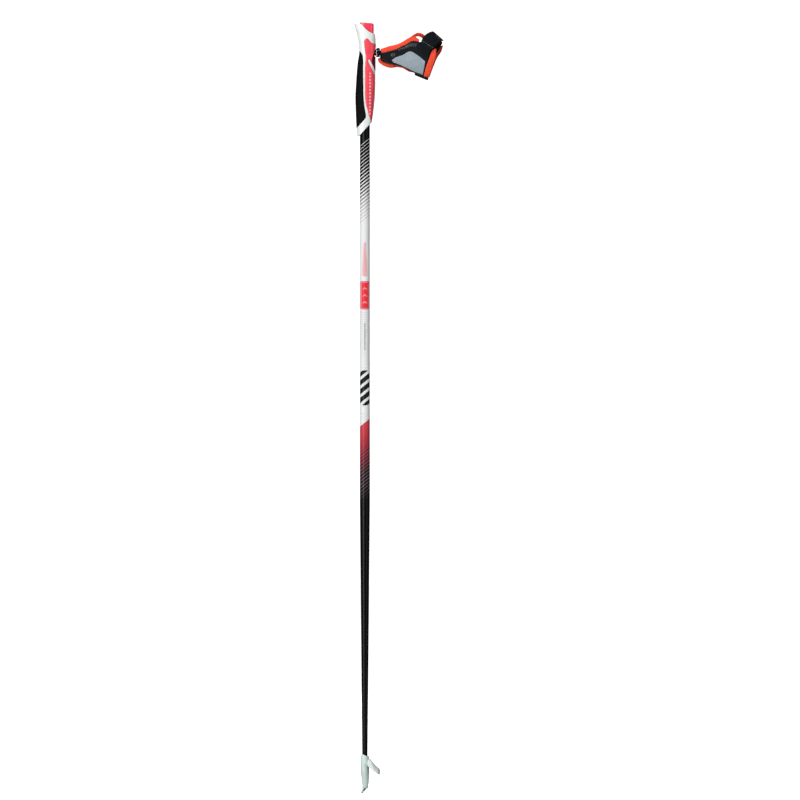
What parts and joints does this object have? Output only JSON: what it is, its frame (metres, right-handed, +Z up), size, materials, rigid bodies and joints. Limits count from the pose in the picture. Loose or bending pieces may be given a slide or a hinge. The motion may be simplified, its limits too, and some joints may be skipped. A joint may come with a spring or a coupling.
{
  "type": "ski pole",
  "caption": "One-piece walking and cross-country ski pole with a moulded grip, a click-in half-glove strap on a top release button, a half basket and a hard spike.",
  "frame": {"origin": "on the shaft's axis at the middle of the palm on the grip, 1.130 m above the point of the spike", "axes": "+Z up along the shaft towards the grip's head, +X to the rear, where the strap leaves the grip, +Y to the pole's right as it is carried"},
  "size_m": [0.1439, 0.0599, 1.2328],
  "materials": {
    "shaft_lacquer": "gloss lacquer over a carbon-fibre composite tube: black to white fade stripes above, silver-white middle, red fading to black below",
    "grip_white": "hard satin white plastic",
    "pad_black": "soft matt black grip rubber",
    "inlay_red": "soft satin raspberry-red grip rubber",
    "button_red": "smooth raspberry-red plastic",
    "latch_steel": "plain spring steel",
    "screw_steel": "blackened steel",
    "ferrule_white": "satin off-white plastic",
    "basket_white": "satin off-white plastic",
    "claw_steel": "ground hard metal",
    "plug_black": "black moulded plastic",
    "webbing_black": "woven black tape",
    "strap_black": "padded black knit",
    "patch_grey": "smooth grey synthetic suede",
    "loop_black": "black hook-and-loop pile",
    "binding_orange": "ribbed orange-red elastic binding",
    "band_black": "black woven band"
  },
  "bodies": {
    "pole": {"shaft_tube": "shaft_lacquer", "grip_core": "grip_white", "grip_front_pad": "pad_black", "grip_rear_inlay": "inlay_red", "button_spring": "latch_steel", "retaining_screw": "screw_steel", "tip_ferrule": "ferrule_white", "basket_wing": "basket_white", "claw_tip": "claw_steel"},
    "button": {"release_button": "button_red", "latch_plate": "latch_steel"},
    "plug": {"strap_plug": "plug_black", "plug_bar": "screw_steel"},
    "strap": {"webbing_loop": "webbing_black", "back_panel": "strap_black", "palm_panel": "strap_black", "back_patch": "patch_grey", "loop_patch": "loop_black", "thumb_binding_back": "binding_orange", "thumb_binding_palm": "binding_orange", "finger_binding_back": "webbing_black", "finger_binding_palm": "binding_orange", "wrist_hem_back": "binding_orange", "wrist_hem_palm": "binding_orange", "wrist_band": "band_black"},
    "tab": {"closure_tab": "band_black", "hook_patch": "loop_black"}
  },
  "joints": [
    {"name": "button_press", "type": "slide", "parent": "pole", "child": "button", "axis": [0, 0, -1], "range_m": [0, 0.004], "stiffness_N_per_m": 1500, "springref_m": -0.002, "deforming": ["button_spring"]},
    {"name": "strap_swivel", "type": "hinge", "parent": "pole", "child": "plug", "pos_m": [0.0177, 0, 0.055], "axis": [1, 0, 0], "range_deg": [-60, 60]},
    {"name": "strap_yaw", "type": "hinge", "parent": "plug", "child": "strap", "pos_m": [0.0215, 0, 0.055], "axis": [0, 0, 1], "range_deg": [-35, 35]},
    {"name": "tab_peel", "type": "hinge", "parent": "strap", "child": "tab", "pos_m": [0.117, 0, 0.0816], "axis": [-0.7547, 0, 0.6561], "range_deg": [0, 80]}
  ]
}
